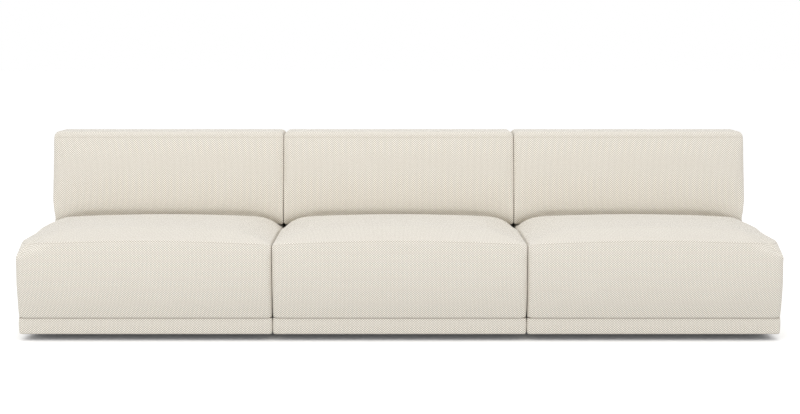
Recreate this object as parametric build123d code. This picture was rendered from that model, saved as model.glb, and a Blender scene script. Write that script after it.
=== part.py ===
"""An armless sofa: three upholstered modules that stand side by side and hook together.

Each module is a seat block on a fabric-wrapped plinth with low hidden feet. A back block stands on the
rear of the seat block and slots into it with steel blades, so it lifts off. The two outer modules lift
off the middle one's hook plates in the same way.

Millimetres. +Z is up, the front faces -Y and X runs along the sofa. The origin is on the floor, below
the middle of the whole sofa.
"""

import os
from math import radians, sin, sqrt, tan

from build123d import *

# The row of modules
MODULE_NAMES = ("left", "centre", "right")
PITCH = 960.0  # from the middle of one module to the next
MODULE_GAP = 3.0  # between the covers of two neighbours
DEPTH = 940.0  # front of the seat to the rear of the back

# Fabric, padding and the gaps around soft pieces
COVER = 3.0  # seat and back cover
SOFT_GAP = 0.4  # between a soft piece and what it lies on
SIDE_PADDING = 12.5
FRONT_PADDING = 39.0
BACK_REAR_PADDING = 9.0

# Feet and plinth
FOOT_HEIGHT = 27.0
FOOT_RADIUS = 20.0
FOOT_CHAMFER = 2.0
FOOT_MARGIN = 2.0  # from the plinth's hem to a foot
FOOT_SETBACK = 150.0  # from the plinth's front or rear to a foot's middle, so that no foot shows
PLINTH_HEIGHT = 60.0
PLINTH_BOARD = 40.0
PLINTH_FABRIC = 2.0
PLINTH_HEM = 12.0  # fabric turned under the boards
PLINTH_SETBACK_FRONT = 33.0  # from the fullest point of the seat's front
PLINTH_SETBACK_REAR = 4.0
PLINTH_SETBACK_SIDE = 1.0
PLINTH_CORNER = 12.0
PLINTH_EDGE = 3.0
REVEAL = 2.5  # shadow line between plinth and seat cover
DUST_COVER = 1.0

# Seat block
SEAT_TOP = 414.0  # top of the crown
SEAT_DEPTH = 650.0  # in front of the back block
SEAT_REAR_INSET = 2.0
SEAT_CROWN = 16.0  # fall of the top from the middle to the side roll
SEAT_SIDE_ROLL = 65.0  # radius of the roll along each side
SEAT_CORNER = 22.0  # radius of the upright corners
SEAT_TUCK = 26.0  # the front's foot, behind its fullest point
SEAT_BULGE_HEIGHT = 240.0
SEAM_SETBACK = 16.0
SEAM_DROP = 34.0  # from the top down to the front's sewn seam
FRONT_ROLL = 90.0
REAR_ROLL = 22.0
FRONT_BEND = (0.45, 0.38)  # where the front roll bends, as shares of its depth and its fall
SHOULDER_SHARE = 0.1  # fall from crown to shoulder, of the rise from deck to crown
REAR_EDGE_SHARE = 0.35  # height of the upright rear edge, of the same rise
DECK_TOP = 362.0  # the flat rear of the seat block, under the back
DECK_SIDE_ROLL = 30.0
DECK_PADDING = 15.0
DECK_BOARD = 12.0

# Wooden seat frame and its springs
RAIL = 25.0
RAIL_HEIGHT = 141.0
SPRING_COUNT = 5
SPRING_SPACING = 170.0
SPRING_WIDTH = 50.0
SPRING_PITCH = 36.0  # from one cross run to the next
SPRING_BEND = 12.0
SPRING_WIRE = 3.8
CLIP_LENGTH = 26.0
CLIP_DEPTH = 14.0
CLIP_WALL = 1.6
CLIP_CLEARANCE = 0.1

# Back block
BACK_TOP = 748.0
BACK_RECLINE = 10.0  # degrees, of the front face
BACK_CROWN = 6.0  # the face's middle, ahead of its sides
BACK_PUFF = 5.0  # the face's bulge between bottom and top
BACK_CORNER = 24.0
BACK_BOTTOM_ROLL = 28.0
BACK_TOP_ROLL = 22.0
BACK_HEEL = 12.0
BACK_TOP_CROWN = 2.0
SEAT_BACK_GAP = 3.0
BACK_HEM = 40.0  # cover turned under the block

# Wooden back frame
POST_WIDTH = 45.0
BACK_TIMBER = 30.0
BACK_RAIL_HEIGHT = 60.0
BACK_TOP_PADDING = 30.0
BACK_BOTTOM_PADDING = 5.0

# Blades of the back and their sockets in the seat frame
BLADE_SPREAD = 600.0
BLADE_WIDTH = 40.0
BLADE_THICKNESS = 5.0
BLADE_HOLD = 60.0  # length held in the socket
BLADE_CLEARANCE = 0.5
SOCKET_WALL = 2.5
SLOT_MARGIN = 2.0

# Hook plates that tie neighbouring modules together
HOOK_SPREAD = 400.0
HOOK_WIDTH = 60.0
HOOK_PLATE = 3.0
HOOK_ROOT = 24.0
HOOK_TONGUE = 4.0
HOOK_TONGUE_WIDTH = 32.0
HOOK_TONGUE_DROP = 11.0
HOOK_REACH = 26.0  # from the joint between modules to the plate's end
HOOK_TONGUE_REACH = 14.0  # from that joint to the tongue's middle
HOOK_CLEARANCE = 1.0

# Levels and faces that several pieces share
half_width = (PITCH - MODULE_GAP) / 2
front = -DEPTH / 2
rear = DEPTH / 2
seat_rear = rear - SEAT_REAR_INSET
plinth_top = FOOT_HEIGHT + PLINTH_HEIGHT
seat_hem = plinth_top + REVEAL
rail_top = plinth_top + RAIL_HEIGHT
deck_board_top = DECK_TOP - COVER - DECK_PADDING
deck_board_bottom = deck_board_top - DECK_BOARD
step_y = front + SEAT_DEPTH
back_face = step_y + SEAT_BACK_GAP
back_bottom = DECK_TOP + SOFT_GAP
rail_side = half_width - COVER - SIDE_PADDING
rail_front = front + COVER + FRONT_PADDING
back_frame_rear = rear - COVER - BACK_REAR_PADDING
back_frame_front = back_frame_rear - BACK_TIMBER
back_frame_top = BACK_TOP - COVER - BACK_TOP_PADDING
rear_rail_front = back_frame_front + BLADE_CLEARANCE + SOCKET_WALL
rear_rail_rear = rear_rail_front + RAIL
mid_rail_rear = step_y + RAIL
plinth_side = half_width - PLINTH_SETBACK_SIDE
plinth_front = front + PLINTH_SETBACK_FRONT
plinth_rear = rear - PLINTH_SETBACK_REAR
spring_level = rail_top + CLIP_WALL + SPRING_WIRE / 2
foam_bottom = spring_level + SPRING_WIRE / 2 + CLIP_WALL + SOFT_GAP

# A quarter roll is cut in by this share of its radius half way round
QUARTER_BEND = 1 - sin(radians(45))

# Places of the sections across a module: shares of the flat part, then angles round the side roll
FLAT_SHARES = (0.0, 0.2, 0.4, 0.6, 0.75)
ROLL_ANGLES = (0, 25, 48, 68, 82)


def block(x0, x1, y0, y1, z0, z1):
    """A box between two corners."""
    size = (x1 - x0, y1 - y0, z1 - z0)
    return Pos((x0 + x1) / 2, (y0 + y1) / 2, (z0 + z1) / 2) * Box(*size)


def both_sides(piece):
    """A piece and its mirror image across the module's middle."""
    return [piece, mirror(piece, about=Plane.YZ)]


def outline(x, steps):
    """A closed section at x, from ("line", end) and ("arc", through, end) steps in (y, z)."""
    start = steps[-1][-1]
    edges = []
    for kind, *points in steps:
        ends = [Vector(x, y, z) for y, z in (start, *points)]
        edges.append(Edge.make_line(*ends) if kind == "line" else Edge.make_three_point_arc(*ends))
        start = points[-1]
    return Wire(edges)


def roll_fall(distance, radius):
    """How far a roll of this radius has fallen at a distance from the side, short of its end."""
    reach = max(radius - distance, 0)
    return radius - sqrt(max(radius**2 - reach**2, 0))


def stations(roll):
    """Places across a module where a section is drawn: closer together on the roll at each side."""
    flat = half_width - roll
    one_side = [flat * share for share in FLAT_SHARES]
    one_side += [flat + roll * sin(radians(angle)) for angle in ROLL_ANGLES]
    return one_side[::-1] + [-x for x in one_side[1:]]


def seat_section(x, inset, bottom):
    """The seat block's section at x: bulged front, rolled front edge, crown, and flat deck behind."""
    from_side = half_width - abs(x)
    top = SEAT_TOP - SEAT_CROWN * (x / half_width) ** 2 - roll_fall(from_side, SEAT_SIDE_ROLL)
    deck = DECK_TOP - roll_fall(from_side, DECK_SIDE_ROLL)
    face = front + roll_fall(from_side, SEAT_CORNER) + inset
    step = top - deck
    top = top - inset
    deck = deck - inset
    edge = step_y - inset
    heel = seat_rear - inset
    shoulder = top - SHOULDER_SHARE * step
    rear_low = deck + REAR_EDGE_SHARE * step
    middle = (face + FRONT_ROLL + edge - REAR_ROLL) / 2
    return outline(
        x * (half_width - inset) / half_width,
        [
            ("arc", (face, SEAT_BULGE_HEIGHT), (face + SEAM_SETBACK, top - SEAM_DROP)),
            (
                "arc",
                (face + FRONT_BEND[0] * FRONT_ROLL, top - FRONT_BEND[1] * SEAM_DROP),
                (face + FRONT_ROLL, shoulder),
            ),
            ("arc", (middle, top), (edge - REAR_ROLL, shoulder)),
            (
                "arc",
                (edge - QUARTER_BEND * REAR_ROLL, shoulder - QUARTER_BEND * (shoulder - rear_low)),
                (edge, rear_low),
            ),
            ("line", (edge, deck)),
            ("line", (heel, deck)),
            ("line", (heel, bottom)),
            ("line", (face + SEAT_TUCK, bottom)),
        ],
    )


def seat_form(inset, bottom):
    """The seat block's whole form, inside its cover by inset, down to bottom."""
    places = stations(SEAT_SIDE_ROLL)
    return Solid.make_loft([seat_section(x, inset, bottom) for x in places], ruled=True)


def back_section(x, inset):
    """The back block's section at x: a reclined, gently puffed face and rolled edges."""
    inside = inset + roll_fall(half_width - abs(x), BACK_CORNER)
    low = back_bottom + inside
    high = BACK_TOP - inside
    heel = rear - inside
    slope = tan(radians(BACK_RECLINE))
    foot = back_face + BACK_CROWN * (x / half_width) ** 2 + inside
    face_low = low + BACK_BOTTOM_ROLL
    face_high = high - BACK_TOP_ROLL
    head = foot + slope * (face_high - face_low)
    bend = QUARTER_BEND
    return outline(
        x * (half_width - inset) / half_width,
        [
            (
                "arc",
                (foot + bend * BACK_BOTTOM_ROLL, low + bend * BACK_BOTTOM_ROLL),
                (foot, face_low),
            ),
            ("arc", ((foot + head) / 2 - BACK_PUFF, (face_low + face_high) / 2), (head, face_high)),
            (
                "arc",
                (head + bend * BACK_TOP_ROLL, high - bend * BACK_TOP_ROLL),
                (head + BACK_TOP_ROLL, high),
            ),
            ("arc", ((head + heel) / 2, high + BACK_TOP_CROWN), (heel - BACK_TOP_ROLL, high)),
            (
                "arc",
                (heel - bend * BACK_TOP_ROLL, high - bend * BACK_TOP_ROLL),
                (heel, face_high),
            ),
            ("line", (heel, low + BACK_HEEL)),
            ("arc", (heel - bend * BACK_HEEL, low + bend * BACK_HEEL), (heel - BACK_HEEL, low)),
            ("line", (foot + BACK_BOTTOM_ROLL, low)),
        ],
    )


def back_form(inset):
    """The back block's whole form, inside its cover by inset."""
    places = stations(BACK_CORNER)
    return Solid.make_loft([back_section(x, inset) for x in places], ruled=True)


def blade_places():
    return [-BLADE_SPREAD / 2, BLADE_SPREAD / 2]


def blade_slots():
    """The ways for the blades through the deck board, padding and cover."""
    half = BLADE_WIDTH / 2 + SLOT_MARGIN
    y0 = back_frame_front - BLADE_THICKNESS - SLOT_MARGIN
    y1 = back_frame_front + SLOT_MARGIN
    low = deck_board_bottom - SLOT_MARGIN
    high = DECK_TOP + SLOT_MARGIN
    return [block(x - half, x + half, y0, y1, low, high) for x in blade_places()]


def seat_cover():
    hollow = seat_form(COVER, seat_hem - REVEAL)
    return [seat_form(0, seat_hem) - hollow - blade_slots()]


def seat_foam():
    """Foam over springs and deck board, and the padding wrapped round the rails."""
    side = rail_side + SOFT_GAP
    y0 = rail_front - SOFT_GAP
    y1 = rear_rail_rear + SOFT_GAP
    deck_y = step_y - SOFT_GAP
    below = seat_hem - REVEAL
    over_springs = block(-side, side, y0, y1, below, foam_bottom)
    over_deck = block(-side, side, deck_y, y1, below, deck_board_top + SOFT_GAP)
    return [seat_form(COVER + SOFT_GAP, seat_hem) - over_springs - over_deck - blade_slots()]


def front_rail():
    return [block(-rail_side, rail_side, rail_front, rail_front + RAIL, plinth_top, rail_top)]


def rear_rail():
    """Runs up to the deck board, like the rail in front of it, and carries the sockets."""
    y0 = rear_rail_front
    return [block(-rail_side, rail_side, y0, y0 + RAIL, plinth_top, deck_board_bottom)]


def mid_rail():
    side = rail_side - RAIL
    return [block(-side, side, step_y, mid_rail_rear, plinth_top, deck_board_bottom)]


def side_rails():
    x1 = rail_side
    return both_sides(
        block(x1 - RAIL, x1, rail_front + RAIL, rear_rail_front, plinth_top, rail_top)
    )


def deck_board():
    board = block(-rail_side, rail_side, step_y, rear_rail_rear, deck_board_bottom, deck_board_top)
    return [board - blade_slots()]


def spring_places():
    middle = (SPRING_COUNT - 1) / 2
    return [SPRING_SPACING * (index - middle) for index in range(SPRING_COUNT)]


def spring_ends():
    """The y of a spring's first and last cross run, each held by a clip."""
    return rail_front + RAIL / 2, step_y - CLIP_DEPTH / 2


def seat_springs():
    """Flat serpentine springs from the front rail to the mid rail."""
    start, end = spring_ends()
    runs = int((end - start) / SPRING_PITCH) + 1
    pitch = (end - start) / (runs - 1)
    side = SPRING_WIDTH / 2
    corners = []
    for run in range(runs):
        turn = side if run % 2 else -side
        corners += [(turn, start + run * pitch), (-turn, start + run * pitch)]
    corners = [Vector(x, y, spring_level) for x, y in corners]
    path = FilletPolyline(*corners, radius=SPRING_BEND)
    wire = sweep(Plane(path @ 0, z_dir=path % 0) * Circle(SPRING_WIRE / 2), path=path)
    return [Pos(x, 0, 0) * wire for x in spring_places()]


def spring_clips():
    """A folded clip round each end run of each spring, on the front rail and on the mid rail."""
    bore = Rot(0, 90, 0) * Cylinder(SPRING_WIRE / 2 + CLIP_CLEARANCE, CLIP_LENGTH)
    height = SPRING_WIRE + 2 * CLIP_WALL
    clip = Box(CLIP_LENGTH, CLIP_DEPTH, height) - bore
    return [Pos(x, y, spring_level) * clip for x in spring_places() for y in spring_ends()]


def plinth_boards():
    z0, z1 = FOOT_HEIGHT, plinth_top
    side = plinth_side - PLINTH_FABRIC
    y0 = plinth_front + PLINTH_FABRIC
    y1 = plinth_rear - PLINTH_FABRIC
    return [
        block(-side, side, y0, y0 + PLINTH_BOARD, z0, z1) - board_corners(y0, 1),
        block(-side, side, y1 - PLINTH_BOARD, y1, z0, z1) - board_corners(y1, -1),
        *both_sides(block(side - PLINTH_BOARD, side, y0 + PLINTH_BOARD, y1 - PLINTH_BOARD, z0, z1)),
    ]


def board_corners(y, inward):
    """What the fabric's rounded upright corners take off a board's ends."""
    radius = PLINTH_CORNER - PLINTH_FABRIC
    side = plinth_side - PLINTH_FABRIC
    z0, z1 = FOOT_HEIGHT, plinth_top
    centre = y + inward * radius
    square = block(side - radius, side, min(y, centre), max(y, centre), z0, z1)
    middle = Pos(side - radius, centre, (z0 + z1) / 2)
    return both_sides(square - middle * Cylinder(radius, z1 - z0))


def plinth_skin(inset, z0, z1):
    """The plinth's upright faces, inside its fabric by inset, as one solid between two levels."""
    width = 2 * (plinth_side - inset)
    depth = plinth_rear - plinth_front - 2 * inset
    face = RectangleRounded(width, depth, PLINTH_CORNER - inset)
    return Pos(0, (plinth_front + plinth_rear) / 2, z0) * extrude(face, z1 - z0)


def plinth_cover():
    """Fabric round the boards, rounded below and turned under them."""
    z0 = FOOT_HEIGHT - PLINTH_FABRIC
    outside = plinth_skin(0, z0, plinth_top)
    outside = fillet(outside.edges().group_by(Axis.Z)[0], PLINTH_EDGE)
    inside = plinth_skin(PLINTH_FABRIC, FOOT_HEIGHT, plinth_top)
    mouth = block(
        -plinth_side + PLINTH_FABRIC + PLINTH_HEM,
        plinth_side - PLINTH_FABRIC - PLINTH_HEM,
        plinth_front + PLINTH_FABRIC + PLINTH_HEM,
        plinth_rear - PLINTH_FABRIC - PLINTH_HEM,
        z0,
        FOOT_HEIGHT,
    )
    return [outside - inside - mouth]


def foot_places():
    x = plinth_side - PLINTH_FABRIC - PLINTH_HEM - FOOT_MARGIN - FOOT_RADIUS
    y0 = plinth_front + FOOT_SETBACK
    y1 = plinth_rear - FOOT_SETBACK
    return [(sx * x, y) for sx in (-1, 1) for y in (y0, y1)]


def feet():
    foot = Cylinder(FOOT_RADIUS, FOOT_HEIGHT)
    foot = chamfer(foot.edges().group_by(Axis.Z)[0], FOOT_CHAMFER)
    return [Pos(x, y, FOOT_HEIGHT / 2) * foot for x, y in foot_places()]


def hook_places():
    middle = (plinth_front + plinth_rear) / 2
    return [middle - HOOK_SPREAD / 2, middle + HOOK_SPREAD / 2]


def hook_root():
    """The x span of a plate's thick root, inside the plinth's hem."""
    x1 = plinth_side - PLINTH_FABRIC - PLINTH_HEM - FOOT_MARGIN
    return x1 - HOOK_ROOT, x1


def dust_cover():
    """Thin cloth under the boards, cut out round the feet and the hook plates."""
    side = plinth_side - PLINTH_FABRIC - PLINTH_HEM - SOFT_GAP
    y0 = plinth_front + PLINTH_FABRIC + PLINTH_HEM + SOFT_GAP
    y1 = plinth_rear - PLINTH_FABRIC - PLINTH_HEM - SOFT_GAP
    z0 = FOOT_HEIGHT - DUST_COVER
    cloth = block(-side, side, y0, y1, z0, FOOT_HEIGHT)
    for x, y in foot_places():
        cloth -= Pos(x, y, FOOT_HEIGHT) * Cylinder(FOOT_RADIUS + SOFT_GAP, 2 * FOOT_HEIGHT)
    half = HOOK_WIDTH / 2 + SOFT_GAP
    x0 = hook_root()[0] - SOFT_GAP
    for y in hook_places():
        cloth -= both_sides(block(x0, side, y - half, y + half, z0, FOOT_HEIGHT))
    return [cloth]


def slotted_plate(y):
    """A plate on the middle module's right side that reaches under its neighbour, with a slot."""
    x0, x1 = hook_root()
    upper = FOOT_HEIGHT - PLINTH_FABRIC - HOOK_PLATE - SOFT_GAP
    lower = upper - HOOK_PLATE
    end = PITCH / 2 + HOOK_REACH
    half = HOOK_WIDTH / 2
    plate = block(x0, end, y - half, y + half, lower, upper)
    plate += block(x0, x1, y - half, y + half, upper, FOOT_HEIGHT)
    slot_x = PITCH / 2 + HOOK_TONGUE_REACH
    slot_half = HOOK_TONGUE / 2 + HOOK_CLEARANCE
    slot_side = HOOK_TONGUE_WIDTH / 2 + HOOK_CLEARANCE
    return plate - block(
        slot_x - slot_half, slot_x + slot_half, y - slot_side, y + slot_side, lower, upper
    )


def tongue_plate(y):
    """A plate on the left side of a module, with a tongue that drops into its neighbour's slot."""
    x0, x1 = (-x for x in reversed(hook_root()))
    upper = FOOT_HEIGHT - PLINTH_FABRIC
    lower = upper - HOOK_PLATE
    tongue_x = HOOK_TONGUE_REACH - PITCH / 2
    half = HOOK_WIDTH / 2
    start = tongue_x - HOOK_TONGUE / 2
    plate = block(start, x1, y - half, y + half, lower, upper)
    plate += block(x0, x1, y - half, y + half, upper, FOOT_HEIGHT)
    side = HOOK_TONGUE_WIDTH / 2
    return plate + block(
        start, start + HOOK_TONGUE, y - side, y + side, upper - HOOK_TONGUE_DROP, lower
    )


def hook_plates(name):
    """Slotted plates on both sides of the middle module, tongues on the sides that face it."""
    if name == "centre":
        return [piece for y in hook_places() for piece in both_sides(slotted_plate(y))]
    tongues = [tongue_plate(y) for y in hook_places()]
    return tongues if name == "right" else [mirror(piece, about=Plane.YZ) for piece in tongues]


def bracket_sockets():
    """Flat steel sockets on the rear rail's inner face, open at the top."""
    room = BLADE_THICKNESS + 2 * BLADE_CLEARANCE
    half_room = BLADE_WIDTH / 2 + BLADE_CLEARANCE
    y1 = rear_rail_front
    y0 = y1 - room - 2 * SOCKET_WALL
    z1 = deck_board_bottom
    z0 = z1 - BLADE_HOLD - BLADE_CLEARANCE
    half = half_room + SOCKET_WALL
    shell = block(-half, half, y0, y1, z0, z1)
    shell -= block(-half_room, half_room, y0 + SOCKET_WALL, y1 - SOCKET_WALL, z0, z1)
    return [Pos(x, 0, 0) * shell for x in blade_places()]


def back_cover():
    side = half_width - BACK_HEM
    mouth = block(
        -side,
        side,
        back_face + BACK_HEM,
        back_frame_rear + SOFT_GAP,
        back_bottom - SOFT_GAP,
        back_bottom + 2 * COVER,
    )
    return [back_form(0) - back_form(COVER) - mouth]


def back_foam():
    """Foam in front of and round the back frame, open below for it."""
    room = block(
        -rail_side - SOFT_GAP,
        rail_side + SOFT_GAP,
        back_frame_front - BLADE_THICKNESS - SOFT_GAP,
        back_frame_rear + SOFT_GAP,
        back_bottom - SOFT_GAP,
        back_frame_top + SOFT_GAP,
    )
    return [back_form(COVER + SOFT_GAP) - room]


def back_frame_bottom():
    return back_bottom + COVER + BACK_BOTTOM_PADDING


def back_posts():
    x1 = rail_side
    y0, y1 = back_frame_front, back_frame_rear
    return both_sides(block(x1 - POST_WIDTH, x1, y0, y1, back_frame_bottom(), back_frame_top))


def back_rails():
    side = rail_side - POST_WIDTH
    low = back_frame_bottom()
    high = back_frame_top - BACK_RAIL_HEIGHT
    levels = [low, (low + high) / 2, high]
    y0, y1 = back_frame_front, back_frame_rear
    return [block(-side, side, y0, y1, z, z + BACK_RAIL_HEIGHT) for z in levels]


def back_blades():
    """Steel blades on the bottom rail's front face, down into the sockets."""
    half = BLADE_WIDTH / 2
    y1 = back_frame_front
    y0 = y1 - BLADE_THICKNESS
    z0 = deck_board_bottom - BLADE_HOLD
    z1 = back_frame_bottom() + BACK_RAIL_HEIGHT
    return [block(x - half, x + half, y0, y1, z0, z1) for x in blade_places()]


MODULE_PIECES = {
    "seat_cover": seat_cover,
    "seat_foam": seat_foam,
    "seat_springs": seat_springs,
    "spring_clips": spring_clips,
    "front_rail": front_rail,
    "mid_rail": mid_rail,
    "rear_rail": rear_rail,
    "side_rails": side_rails,
    "deck_board": deck_board,
    "dust_cover": dust_cover,
    "plinth_boards": plinth_boards,
    "plinth_cover": plinth_cover,
    "feet": feet,
    "bracket_sockets": bracket_sockets,
    "back_cover": back_cover,
    "back_foam": back_foam,
    "back_posts": back_posts,
    "back_rails": back_rails,
    "back_blades": back_blades,
}


def write(node, solids, place):
    """Write one node's solids, moved to their module's place."""
    moved = [place * solid for solid in solids]
    whole = moved[0] if len(moved) == 1 else Compound(children=moved)
    export_step(whole, f"parts/{node}.step")


os.makedirs("parts", exist_ok=True)
made = {piece: make() for piece, make in MODULE_PIECES.items()}
for number, name in enumerate(MODULE_NAMES):
    place = Pos(PITCH * (number - (len(MODULE_NAMES) - 1) / 2), 0, 0)
    for piece, solids in made.items():
        write(f"{name}_{piece}", solids, place)
    write(f"{name}_hook_plates", hook_plates(name), place)
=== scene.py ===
"""The looks of the armless sofa: covers that swell over their padding, a fabric band round each plinth,
woven fabric and the finishes of the frame inside, on a pale floor in soft light.

Metres. +Z is up, the front faces -Y and X runs along the sofa.
"""

from math import cos, pi, radians, sin, tan

import bmesh
import bpy
import numpy as np
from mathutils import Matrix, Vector

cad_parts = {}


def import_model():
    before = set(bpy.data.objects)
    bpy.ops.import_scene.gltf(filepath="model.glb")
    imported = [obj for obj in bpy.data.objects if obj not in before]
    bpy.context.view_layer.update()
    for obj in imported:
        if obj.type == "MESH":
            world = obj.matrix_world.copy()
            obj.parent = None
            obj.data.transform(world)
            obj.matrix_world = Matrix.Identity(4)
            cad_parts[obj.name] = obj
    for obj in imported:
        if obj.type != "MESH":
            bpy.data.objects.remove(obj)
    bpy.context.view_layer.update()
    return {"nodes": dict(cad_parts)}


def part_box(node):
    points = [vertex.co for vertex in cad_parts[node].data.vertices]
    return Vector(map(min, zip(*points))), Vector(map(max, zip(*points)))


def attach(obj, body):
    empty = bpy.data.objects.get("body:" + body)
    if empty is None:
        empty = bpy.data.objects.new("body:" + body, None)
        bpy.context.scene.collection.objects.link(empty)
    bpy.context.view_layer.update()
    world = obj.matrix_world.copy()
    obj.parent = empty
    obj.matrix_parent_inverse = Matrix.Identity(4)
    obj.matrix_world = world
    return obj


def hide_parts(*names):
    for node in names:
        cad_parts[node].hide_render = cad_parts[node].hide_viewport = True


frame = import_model()

MODULES = ("left", "centre", "right")

COVER_PROUD = 0.0013  # the covers nearly meet in the gap that the frame leaves between modules
HEM_DROP = 0.0014  # the seat cover's hem closes most of the gap over the plinth band
SOFT_GAP = 0.0004  # between the deck and the back block that rests on it

# Sizes and places that the frame gives
seat_low, seat_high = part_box("centre_seat_cover")
back_low, back_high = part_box("centre_back_cover")
band_low, band_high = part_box("centre_plinth_cover")
cloth_low, cloth_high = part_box("centre_dust_cover")
blade_low, blade_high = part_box("centre_back_blades")
half_width = seat_high.x + COVER_PROUD
hem = seat_low.z - HEM_DROP
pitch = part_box("right_seat_cover")[0].x - seat_low.x
step_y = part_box("centre_mid_rail")[0].y  # the step up from the deck to the seat, under the back's face
deck = back_low.z - SOFT_GAP

# Seat block: the sewn seam round its top panel
SEAM_LEVEL = 0.381  # at the middle of the front
SEAM_LEVEL_SIDE = 0.3675  # at the front's ends and along the sides
SEAM_LEVEL_REAR = 0.340  # round the deck
REAR_RUN = 0.22  # length ahead of the step over which it falls to that
SEAM_SETBACK = 0.016  # behind the front's fullest point
SEAM_STEEPNESS = 0.92  # of the top panel's rise from the seam
SIDE_STEEPNESS = 0.985  # and along the sides

# Seat block: crown, rolls, corners and tucks
SEAT_CROWN_X = 0.016  # fall of the top from the middle to the sides
SEAT_CROWN_Y = 0.006  # and from the rear to the front
SIDE_ROLL = 0.042
SIDE_ROLL_DEPTH = 0.108  # from the seam inward to the top of the roll
FRONT_ROLL_DEPTH = 0.074
REAR_ROLL = 0.020
REAR_EDGE_SHARE = 0.35  # height of the step's upright edge, of the rise from deck to top
STEP_RUN = 0.0016  # the step is this much off upright
DECK_ROLL = 0.030
DECK_ROLL_DEPTH = 0.027
CORNER = 0.022  # plan radius of the corners
SEAM_CORNER = 0.009  # and at the seam, where they are sharper
CORNER_LEVEL = 0.300  # where the one starts to become the other
BULGE_LEVEL = 0.245  # where front, sides and rear are fullest
FRONT_TUCK = 0.026  # how far the foot draws in from there
SIDE_TUCK = 0.001
REAR_TUCK = 0.002
HEM_ROLL = 0.0055

# Seat block: the side that no neighbour presses
FREE_CORNER = 0.150  # plan radius of its front corner at the seam
LEAST_CORNER = 1e-6
FREE_SHOULDER = 0.012  # how much fuller its top is ahead of the back
SHOULDER_START = 0.75  # share of the half width from which it is
SHOULDER_AHEAD = 0.36  # from the place where it starts to the step
SHOULDER_RISE = 0.24  # length over which it grows
SHOULDER_END = 0.015  # from the place where it starts to end to the step
SHOULDER_FALL = 0.025  # length over which it ends

# Back block
BACK_SEAM_DROP = 0.025  # from its top down to its seam
BACK_ROLL = 0.022  # how far the top's roll reaches in from the front
BACK_REAR_ROLL = 0.050  # from the rear
BACK_SIDE_ROLL = 0.018  # and from the sides
BACK_CORNER = 0.010
BACK_HEEL = 0.012
BACK_CROWN = 0.006
BACK_PUFF = 0.005
RECLINE = radians(10)
RECLINE_START = 0.028  # height over the block's underside from which it leans
SEAT_BACK_GAP = 0.003

# Back block: how its foot draws in, and the crease where its face meets the seat
BACK_BOTTOM_ROLL = 0.110  # height up to which the face and a free side draw in below
BACK_BOTTOM_SETBACK = 0.036
DRAW_POWER = 1.4
BACK_REST = 0.403  # level of the crease at the middle of a module
BACK_REST_ROLL = 0.026  # radius of its hollow
REST_DROP = 0.050  # how much lower the crease is at the sides
REST_RUN = 0.25  # length over which it falls there
BACK_FULL = 0.352  # level under which the face fills the step again
FREE_WAIST = 0.014  # how far the foot of a side draws in where no neighbour presses it
WAIST_START = 0.5  # share of the half width from which it does

# Openings that the blades of the back go through
SLOT_MARGIN = 0.002
SLOT_RIM = 0.005
BLADE_WIDTH = 0.040

# Band round the plinth
BAND_CORNER = 0.012
BAND_PROUD = 0.0010
BAND_EDGE = 0.007
BAND_HEM = 0.012
BAND_PUFF = 0.0012
BAND_THICKNESS = 0.0018

# Cloth under the plinth, cut out at feet and hook plates
FOOT_WIDTH = 0.040
HOOK_ROOT = 0.024
HOOK_WIDTH = 0.060
CLOTH_GAP = 0.0004
CLOTH_THICKNESS = 0.0006
CLOTH_SAG = 0.0025
CLOTH_RIPPLE = 0.0006
CLOTH_WAVE = 0.12

# Grid lines of the meshes: even steps where a surface is broad, and places from an edge where it bends
COARSE = 0.013
LEAST_STEP = 0.0003
ROLL_LINES = (0.0, 0.0015, 0.004, 0.008, 0.013, 0.020, 0.028, 0.037, 0.047, 0.058)
SIDE_LINES = (*ROLL_LINES, 0.070, 0.082, 0.095, SIDE_ROLL_DEPTH)
FRONT_LINES = (*ROLL_LINES, 0.066, FRONT_ROLL_DEPTH)
DECK_START = 0.006
DECK_LINES = (0.0, 0.0015, 0.004, 0.009, 0.017, DECK_ROLL_DEPTH)
WALL_SHARES = (-0.5, -0.25, 0.0, 0.25, 0.5)
HEM_LINES = (0.0, 0.0008, 0.0025, HEM_ROLL)
SEAM_LINES = (0.0, 0.0015, 0.004, 0.008, 0.014)
BACK_SEAM_LINES = (0.0, 0.0015, 0.004, 0.009)
REAR_ROLL_ANGLES = (25, 42, 58, 72, 90)
BACK_ROLL_ANGLES = (0, 12, 25, 38, 52, 68, 90)
BAND_EDGE_ANGLES = (18, 36, 54, 72, 90)
BAND_FACE_STEP = 0.1
BAND_SIDE_STEP = 0.04
BAND_CORNER_STEP = 15
CLOTH_STEP = 0.03

# Swelling of the covers as cloth
FRAMES = 20
CLOTH = {
    "quality": 5,
    "mass": 0.3,
    "tension_stiffness": 12,
    "compression_stiffness": 12,
    "shear_stiffness": 6,
    "bending_stiffness": 0.6,
    "vertex_group_mass": "hold",
    "use_pressure": True,
    "uniform_pressure_force": 4.0,
}
SEAT_CAP = 0.010  # the furthest that a point moves
BACK_CAP = 0.006
FREEST = 0.98  # the least hold that a point has is what this leaves
SEWN_FREE = 0.25  # how freely the cloth swells at a seam
SEWN_REACH = 0.03  # length over which that ends
SEAT_HELD_AHEAD = 0.03  # from the step, up to where the seat's cover is held
SEAT_HELD_RUN = 0.08
SEAT_HELD_LOW = 0.05
BACK_HELD_REAR = 0.02
BACK_HELD_RUN = 0.05
BACK_HELD_LOW = 0.06
BACK_HELD_RISE = 0.08
BACK_TOP_FREE = 0.2  # how freely the back's top panel swells
SIDE_LIMIT = half_width + 0.0001  # each cover stays this side of its neighbour
REACH_LIMIT = 1.0  # beyond the sofa in the other directions

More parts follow.
